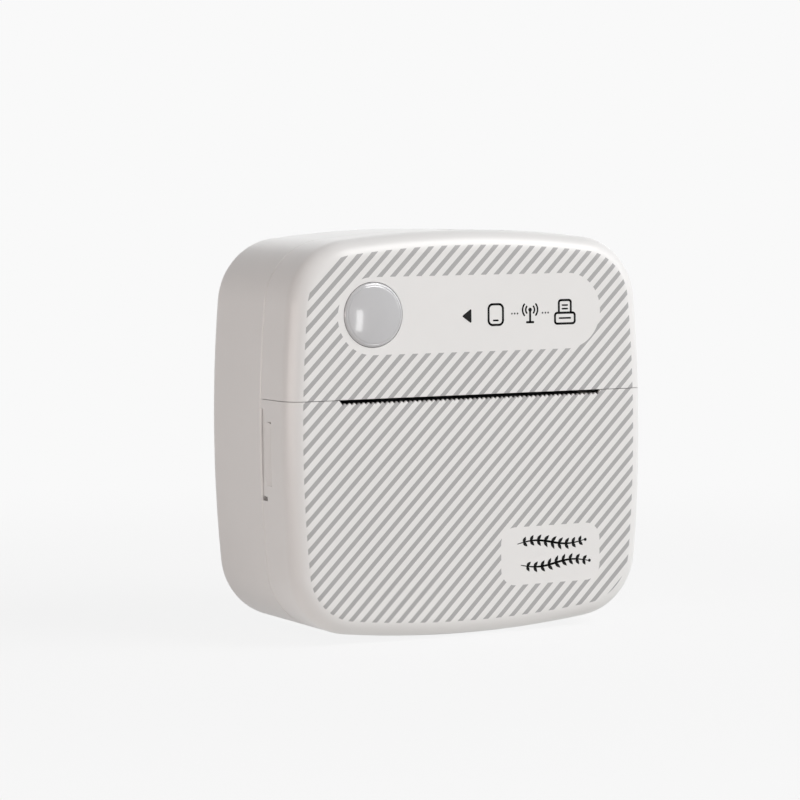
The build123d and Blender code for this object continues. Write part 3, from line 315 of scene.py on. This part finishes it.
def plate(points, sheet):
    """One filled shape from its corner points (x, z), in mm from the middle of the front."""
    y = (front_y + sunk) / 1000
    corners = [sheet.verts.new((x / 1000, y, (middle_z + z) / 1000)) for x, z in points]
    shape = sheet.faces.new(corners)
    shape.normal_update()
    if shape.normal.y > 0:
        shape.normal_flip()


def pen(points, width, sheet):
    """A pen line along the points with round ends; width is one number, or one for each point."""
    widths = [width] * len(points) if isinstance(width, (int, float)) else width
    for (start, wide), (end, narrow) in zip(zip(points, widths), zip(points[1:], widths[1:])):
        along = atan2(end[1] - start[1], end[0] - start[0])
        rim = []
        for (x, z), across, first in ((start, wide, along + pi / 2), (end, narrow, along - pi / 2)):
            for i in range(9):
                turned = first + pi * i / 8
                rim.append((x + across / 2 * cos(turned), z + across / 2 * sin(turned)))
        plate(rim, sheet)


def arc(x, z, radius, start, end, steps=12):
    """Points on an arc round (x, z), by degrees."""
    angles = [radians(start + (end - start) * i / steps) for i in range(steps + 1)]
    return [(x + radius * cos(a), z + radius * sin(a)) for a in angles]


def frame_line(left, right, low, high, radius):
    """Points round a box with rounded corners, back to the first."""
    ends = ((right, high, 0), (left, high, 90), (left, low, 180), (right, low, 270))
    path = []
    for x, z, turned in ends:
        inner_x = x - radius if x == right else x + radius
        inner_z = z - radius if z == high else z + radius
        path += arc(inner_x, inner_z, radius, turned, turned + 90, 6)
    return path + path[:1]


def inked(name, sheet, material, body):
    """Turns drawn shapes into a film of ink that rides on a body."""
    mesh = bpy.data.meshes.new(name)
    sheet.to_mesh(mesh)
    sheet.free()
    mesh.materials.append(material)
    piece = bpy.data.objects.new(name, mesh)
    bpy.context.scene.collection.objects.link(piece)
    film = piece.modifiers.new("film", "SOLIDIFY")
    film.thickness, film.offset = (ink_film + sunk) / 1000, 1.0
    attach(piece, body)
    return piece


def printing_ink(name, light, dark, roughness):
    """Pad-printing ink: a thin even film that shows the spark finish under it."""
    made, tree, shader, spot = started(name)
    tree.links.new(shaded_between(tree, spot, light, dark, 1.5), shader.inputs["Base Color"])
    shader.inputs["Roughness"].default_value = roughness
    shader.inputs["Specular IOR Level"].default_value = 0.2
    grained(tree, spot, shader, 0.25, 0.004, detail=1.0)
    return made


black_ink = printing_ink("black pad-printing ink", "#0B0B0C", "#040405", 0.6)
grey_ink = printing_ink("grey pad-printing ink", "#38383A", "#303032", 0.6)
line, thin_line = 0.47, 0.36

sheet = bmesh.new()
tip = arc(-2.13, 24.24, 0.2, 125, 235, 6)
plate(tip + arc(-0.46, 23.06, 0.2, 235, 360, 6) + arc(-0.46, 25.42, 0.2, 0, 125, 6), sheet)
inked("arrow_to_the_button", sheet, black_ink, "case")

sheet = bmesh.new()
pen(frame_line(3.79, 7.21, 22.24, 26.52, 0.95), line, sheet)
pen([(5.0, 23.17), (6.0, 23.17)], thin_line, sheet)
inked("phone_pictogram", sheet, black_ink, "case")

sheet = bmesh.new()
mast_x, lamp_z = 13.7, 25.2
pen([(mast_x, lamp_z - 0.3), (mast_x, lamp_z - 2.55)], line, sheet)
pen([(mast_x - 0.75, lamp_z - 2.6), (mast_x + 0.75, lamp_z - 2.6)], line, sheet)
plate(arc(mast_x, lamp_z, 0.42, 0, 345, 23), sheet)
for reach in (1.05, 1.8):
    pen(arc(mast_x, lamp_z, reach, -40, 40, 8), thin_line, sheet)
    pen(arc(mast_x, lamp_z, reach, 140, 220, 8), thin_line, sheet)
inked("radio_mast_pictogram", sheet, black_ink, "case")

sheet = bmesh.new()
paper = [(20.65, 24.36)] + arc(21.15, 26.51, 0.5, 180, 90, 5)
paper += arc(23.05, 26.51, 0.5, 90, 0, 5) + [(23.55, 24.36)]
pen(paper, line, sheet)
pen(frame_line(19.7, 24.5, 22.11, 24.36, 0.55), line, sheet)
pen([(20.8, 23.26), (23.4, 23.26)], thin_line, sheet)
for z in (25.96, 25.21):
    pen([(21.5, z), (22.7, z)], 0.34, sheet)
inked("printer_pictogram", sheet, black_ink, "case")

sheet = bmesh.new()
for x in (9.34, 10.01, 10.68, 16.7, 17.37, 18.04):
    plate(arc(x, 24.48, 0.19, 0, 337.5, 15), sheet)
inked("pictogram_dots", sheet, grey_ink, "case")

# Label field on the cover: two sprigs of leaves in the same black ink, each one
# pen stroke that swells in the middle, with leaves in pairs along it.
sheet = bmesh.new()
for left, right, height, swing in ((10.4, 26.6, -23.7, 0.55), (11.2, 27.6, -28.2, -0.55)):
    steps = 48
    stem = []
    for i in range(steps + 1):
        share = i / steps
        stem.append((left + (right - left) * share, height + swing * sin(2 * pi * share)))
    pen(stem, [0.16 + 0.30 * sin(pi * i / steps) for i in range(steps + 1)], sheet)
    for i in range(4, steps - 1, 5):
        lean = atan2(stem[i + 1][1] - stem[i - 1][1], stem[i + 1][0] - stem[i - 1][0])
        for side in (-1, 1):
            reach = 1.75 - 0.5 * abs(i / steps - 0.5) * 2
            angle = lean + side * radians(52)
            leaf = []
            for j in range(15):
                share = j / 7 if j <= 7 else (14 - j) / 7
                fat = 0.36 * sin(pi * share**0.8) * (1 if j <= 7 else -1)
                x, z = reach * share, fat
                turned_x, turned_z = x * cos(angle) - z * sin(angle), x * sin(angle) + z * cos(angle)
                leaf.append((stem[i][0] + turned_x, stem[i][1] + turned_z))
            plate(leaf[:14], sheet)
    plate(arc(right + 0.25, stem[-1][1], 0.34, 0, 337.5, 15), sheet)
inked("label_sprigs", sheet, black_ink, "cover")

# Power button: a cap of tinted polycarbonate from a polished mould, so it is glossy,
# with a domed middle inside a narrow bead. A flange behind the front keeps it in.
button_x, button_z = -22.95, 67.35
crown_y, dome_rise, dome_radius = -20.94, 0.5, 5.86
cap_radius, flange_radius, flange_y, stem_radius = 6.55, 7.55, -17.96, 3.0
cap = bmesh.new()
profile = [(0.0, crown_y)]
profile += [(dome_radius * i / 24, crown_y + dome_rise * (i / 24) ** 2) for i in range(1, 25)]
# A groove round the dome, then the bead, which slopes away to the edge.
profile += [(5.92, -20.37), (5.98, -20.36), (6.03, -20.40), (6.1, -20.39), (6.2, -20.345)]
profile += [(6.3, -20.295), (6.4, -20.235), (6.5, -20.16), (6.57, -20.05), (6.59, -19.9)]
profile += [(cap_radius, -19.6), (cap_radius, flange_y), (flange_radius - 0.1, flange_y)]
profile += [(flange_radius, -17.9), (flange_radius, -17.0), (flange_radius - 0.1, -16.94)]
profile += [(stem_radius, -16.94), (stem_radius, -14.6), (0.0, -14.57)]
steps = 128
rings = []
for radius, y in profile:
    count = 1 if radius == 0 else steps
    rings.append([
        cap.verts.new((
            (button_x + radius * cos(2 * pi * i / steps)) / 1000,
            y / 1000,
            (button_z + radius * sin(2 * pi * i / steps)) / 1000,
        ))
        for i in range(count)
    ])
for inner, outer in zip(rings, rings[1:]):
    for i in range(steps):
        n = (i + 1) % steps
        corners = [inner[i % len(inner)], inner[n % len(inner)], outer[n % len(outer)], outer[i % len(outer)]]
        kept = [v for k, v in enumerate(corners) if v not in corners[:k]]
        cap.faces.new(kept).smooth = True
bmesh.ops.recalc_face_normals(cap, faces=cap.faces)
mesh = bpy.data.meshes.new("button_cap")
cap.to_mesh(mesh)
cap.free()
tinted, tree, shader, spot = started("tinted polycarbonate, polished mould")
tree.links.new(shaded_between(tree, spot, "#C6C6C8", "#BEBEC0", 5.0), shader.inputs["Base Color"])
shader.inputs["IOR"].default_value = 1.585
shader.inputs["Roughness"].default_value = 0.13
shader.inputs["Coat Weight"].default_value = 0.5
shader.inputs["Coat Roughness"].default_value = 0.05
grained(tree, spot, shader, 2.5, 0.004)
mesh.materials.append(tinted)
button_cap = bpy.data.objects.new("button_cap", mesh)
bpy.context.scene.collection.objects.link(button_cap)
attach(button_cap, "button")
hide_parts("power_button")

# Feet: four pads of grey silicone rubber, pressed into round seats in the base of
# the back shell. Silicone looks dry and soft, with no clear reflection.
rubber, tree, shader, spot = started("silicone rubber, matt")
tree.links.new(shaded_between(tree, spot, "#B9B8B6", "#AEADAC", 2.0), shader.inputs["Base Color"])
shader.inputs["IOR"].default_value = 1.43
shader.inputs["Roughness"].default_value = 0.75
grained(tree, spot, shader, 0.2, 0.01)
dress(rubber, "rubber_feet")

# Pins and shafts: centreless-ground steel rod, pressed or run in their bearings.
# The grinding leaves faint rings, which draw a highlight out along the rod. The
# waves of a wave texture lie 314 mm apart at scale 1, and closer at a larger one.
marks_scale, tracks_scale, rings_scale = 200.0, 62.5, 100.0


def ground_steel(name, light, dark, roughness, direction):
    """Metal with fine lines across this axis, left by grinding, turning or drawing."""
    made, tree, shader, spot = started(name)
    tree.links.new(shaded_between(tree, spot, light, dark, 1.2), shader.inputs["Base Color"])
    shader.inputs["Metallic"].default_value = 1.0
    shader.inputs["Roughness"].default_value = roughness
    # The real marks, about 0.02 mm apart, are drawn 1.6 mm apart so that they show.
    wave = {"Vector": spot, "Scale": marks_scale, "Distortion": 1.5, "Detail": 2.0}
    lines = add(tree, "TexWave", wave, bands_direction=direction)
    relief = add(tree, "Bump", {"Height": lines.outputs["Fac"], "Strength": 0.4, "Distance": 0.000004})
    tree.links.new(relief.outputs[0], shader.inputs["Normal"])
    return made


rod_steel = ground_steel("steel rod, ground", "#D2D2D0", "#C2C2C1", 0.22, "X")
dress(rod_steel, "hinge_pin", "platen_shaft", "head_pivot_pin", "motor_shaft", "idler_stud")
dress(ground_steel("spring steel clip, blued", "#5C5E63", "#4C4E54", 0.35, "Z"), "idler_clip")

# Screws: self-tapping steel screws with rolled threads, driven into tubes and
# posts of the mouldings. Bright zinc plating gives them a cool, even shine.
zinc_screw = ground_steel("steel screw, zinc plated", "#C9CACB", "#B4B5B8", 0.3, "Y")
dress(zinc_screw, "case_screws", "board_screws", "frame_screws", "motor_screws")

# Board: glass-epoxy sheet under green solder mask, with tracks that show through
# as lighter lines about 0.3 mm wide, and a white epoxy lamp beside the switch.
mask, tree, shader, spot = started("glass-epoxy board, green solder mask")
turned = add(tree, "Mapping", {"Vector": spot, "Rotation": (radians(90), 0, 0)}).outputs[0]
tracks = add(
    tree,
    "TexBrick",
    {
        "Vector": turned,
        "Color1": linear("#0F5A34"),
        "Color2": linear("#12603A"),
        "Mortar": linear("#2C8A57"),
        "Scale": 1.0,
        "Mortar Size": 0.00015,
        "Brick Width": 0.0052,
        "Row Height": 0.0013,
    },
)
tree.links.new(tracks.outputs[0], shader.inputs["Base Color"])
shader.inputs["Roughness"].default_value = 0.28
relief = add(tree, "Bump", {"Height": tracks.outputs["Fac"], "Strength": 0.6, "Distance": 0.00002})
tree.links.new(relief.outputs[0], shader.inputs["Normal"])
dress(mask, "main_board")


def moulded(name, light, dark, roughness, ior, grain_mm, depth_mm, patch_mm=4.0):
    """A moulded or cast material: two close shades and a fine grain."""
    made, tree, shader, spot = started(name)
    tree.links.new(shaded_between(tree, spot, light, dark, patch_mm), shader.inputs["Base Color"])
    shader.inputs["IOR"].default_value = ior
    shader.inputs["Roughness"].default_value = roughness
    grained(tree, spot, shader, grain_mm, depth_mm)
    return made


dress(moulded("clear-cast epoxy, white", "#F2F1EA", "#E6E5DC", 0.2, 1.5, 0.4, 0.003), "status_led")
black_nylon = moulded("black nylon, moulded", "#1B1B1D", "#131314", 0.5, 1.53, 0.2, 0.006)
dress(black_nylon, "power_switch", "paper_sensor")
white_acetal = moulded("white acetal, moulded", "#E9E7E0", "#DFDDD5", 0.38, 1.48, 0.3, 0.005)
dress(white_acetal, "switch_plunger", "platen_bushes")
white_nylon = moulded("white nylon plug, moulded", "#ECE9DE", "#E1DED2", 0.45, 1.53, 0.2, 0.006)
dress(white_nylon, "battery_plug", "motor_plug")

# Radio module's can and the charging socket: sheet steel, stamped, nickel plated
# and soldered to the board. Nickel is a shade warmer than zinc.
nickel_sheet = ground_steel("nickel-plated sheet, stamped", "#C6C5C0", "#B4B3AE", 0.32, "X")
dress(nickel_sheet, "wireless_module", "charging_socket")

# Paper bay: a trough of grey ABS that holds the roll, moulded in one piece with
# its end cheeks. A deeper grain than the case's makes it matt.
grey_abs = moulded("grey ABS, moulded", "#8F9092", "#85868A", 0.5, 1.53, 0.25, 0.008, 10.0)
dress(grey_abs, "paper_bay")

# Print frame: folded sheet steel, zinc plated, held to posts of the paper bay by
# two screws. It keeps the lines of the rolling mill.
dress(ground_steel("zinc-plated sheet, folded", "#BFC3C6", "#A9AEB2", 0.36, "Z"), "print_frame")

# Print head: a strip of alumina with a glassy heater line along it, glued to a
# heat sink of milled aluminium. Two springs press it on the platen.
alumina, tree, shader, spot = started("alumina with glass glaze")
heater_low, heater_z, heater_high = 0.0452, 0.0457, 0.0462     # metres
height = add(tree, "SeparateXYZ", {0: spot}).outputs[2]
band = add(tree, "MapRange", {"Value": height, 1: heater_low, 2: heater_z, 3: 0.0, 4: 1.0})
band_end = add(tree, "MapRange", {"Value": height, 1: heater_high, 2: heater_z, 3: 0.0, 4: 1.0})
heater = add(tree, "Math", {0: band.outputs[0], 1: band_end.outputs[0]}, operation="MULTIPLY")
shade = shaded_between(tree, spot, "#D9D4C6", "#CDC7B8", 3.0)
mix = {"Factor": heater.outputs[0], 6: shade, 7: linear("#4A3A2C")}
glaze = add(tree, "Mix", mix, data_type="RGBA")
tree.links.new(glaze.outputs[2], shader.inputs["Base Color"])
shader.inputs["Roughness"].default_value = 0.18
grained(tree, spot, shader, 0.6, 0.003)
dress(alumina, "head_strip")
dress(ground_steel("aluminium, milled", "#D6D7D8", "#C5C6C9", 0.34, "X"), "heat_sink")

# Head springs: coils of 0.4 mm spring steel wire, five turns each and a little
# closer in the middle, between the heat sink and the frame's back plate.
low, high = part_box("head_springs")
tube_radius = 0.002         # metres: each coil takes the place of a plain tube
coil_radius, wire, turns, crowding = 1.75, 0.4, 5, 0.10
bright = ground_steel("spring steel wire, drawn", "#B7B9BD", "#9FA2A8", 0.28, "Y")
for number, x in ((1, low.x + tube_radius), (2, high.x - tube_radius)):
    route = bpy.data.curves.new(f"head_spring_{number}", "CURVE")
    route.dimensions, route.bevel_depth, route.bevel_resolution = "3D", wire / 2000, 4
    coil = route.splines.new("POLY")
    steps = 32 * turns
    coil.points.add(steps)
    for i in range(steps + 1):
        share = i / steps
        eased = share + crowding * sin(2 * pi * share) / pi
        y = low.y + wire / 2000 + (high.y - low.y - wire / 1000) * eased
        angle = 2 * pi * turns * share
        across, up = coil_radius / 1000 * cos(angle), coil_radius / 1000 * sin(angle)
        coil.points[i].co = (x + across, y, (low.z + high.z) / 2 + up, 1.0)
    rod = bpy.data.objects.new("spring wire", route)
    mesh = bpy.data.meshes.new_from_object(rod)
    bpy.data.objects.remove(rod)
    mesh.materials.append(bright)
    spring = bpy.data.objects.new(f"head_spring_{number}", mesh)
    bpy.context.scene.collection.objects.link(spring)
    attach(spring, "case")
    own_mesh(spring)
    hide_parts("head_springs")

# Head ribbon: polyimide film over copper tracks, amber where the copper stops.
film, tree, shader, spot = started("polyimide film over copper")
wave = {"Vector": spot, "Scale": tracks_scale, "Distortion": 0.0}     # bands of tracks, 5 mm apart
strips = add(tree, "TexWave", wave, bands_direction="X")
bars = add(tree, "Math", {0: strips.outputs["Fac"], 1: 0.5}, operation="GREATER_THAN")
mix = {"Factor": bars.outputs[0], 6: linear("#B3651C"), 7: linear("#C98539")}
amber = add(tree, "Mix", mix, data_type="RGBA")
tree.links.new(amber.outputs[2], shader.inputs["Base Color"])
shader.inputs["Roughness"].default_value = 0.3
dress(film, "head_ribbon")

# Platen: a sleeve of grey silicone rubber, ground to size on its steel shaft, so
# it has a fine matt grain with faint rings.
sleeve, tree, shader, spot = started("silicone rubber, ground")
tree.links.new(shaded_between(tree, spot, "#48484B", "#3E3E41", 2.0), shader.inputs["Base Color"])
shader.inputs["IOR"].default_value = 1.43
shader.inputs["Roughness"].default_value = 0.68
wave = {"Vector": spot, "Scale": rings_scale, "Distortion": 1.0, "Detail": 3.0}
rings_cut = add(tree, "TexWave", wave, bands_direction="X")
relief = add(tree, "Bump", {"Height": rings_cut.outputs["Fac"], "Strength": 0.5, "Distance": 0.00001})
tree.links.new(relief.outputs[0], shader.inputs["Normal"])
dress(sleeve, "platen_roller")

# Gears: natural acetal, moulded, slightly waxy. The motor's pinion is turned brass.
waxy = moulded("natural acetal, moulded", "#E4E0D3", "#D9D5C6", 0.35, 1.48, 0.3, 0.004)
waxy.node_tree.nodes["Principled BSDF"].inputs["Subsurface Weight"].default_value = 0.1
waxy.node_tree.nodes["Principled BSDF"].inputs["Subsurface Radius"].default_value = (0.001, 0.001, 0.0008)
dress(waxy, "platen_gear", "idler_gear")
dress(ground_steel("brass, turned", "#D9B66A", "#C9A557", 0.25, "X"), "motor_pinion")

# Motor: a steel can, deep drawn and nickel plated, held to the print frame by two
# screws. Drawing leaves fine lines along its wall.
dress(ground_steel("drawn steel can, nickel plated", "#BDBCB8", "#A8A7A3", 0.3, "Z"), "stepper_motor")

# Battery: a pouch cell in silvery laminate, stuck to the back shell by a strip of
# black foam tape. The pouch is slightly wrinkled, so its shine is uneven.
pouch, tree, shader, spot = started("battery pouch, aluminium laminate")
tree.links.new(shaded_between(tree, spot, "#B8BABD", "#A9ABAF", 8.0), shader.inputs["Base Color"])
shader.inputs["Metallic"].default_value = 0.85
shader.inputs["Roughness"].default_value = 0.38
grained(tree, spot, shader, 3.0, 0.05)
dress(pouch, "battery")
dress(moulded("black foam tape", "#2A2A2B", "#1F1F20", 0.9, 1.5, 0.5, 0.04), "battery_tape")

# Leads: tinned wire in extruded PVC, black for the motor and red for the battery,
# crimped into their plugs. PVC is soft and a little shiny.
dress(moulded("black PVC sleeve", "#1A1A1B", "#121213", 0.4, 1.54, 0.3, 0.004), "motor_leads")
dress(moulded("red PVC sleeve", "#A52420", "#97201C", 0.4, 1.54, 0.3, 0.004), "battery_leads")
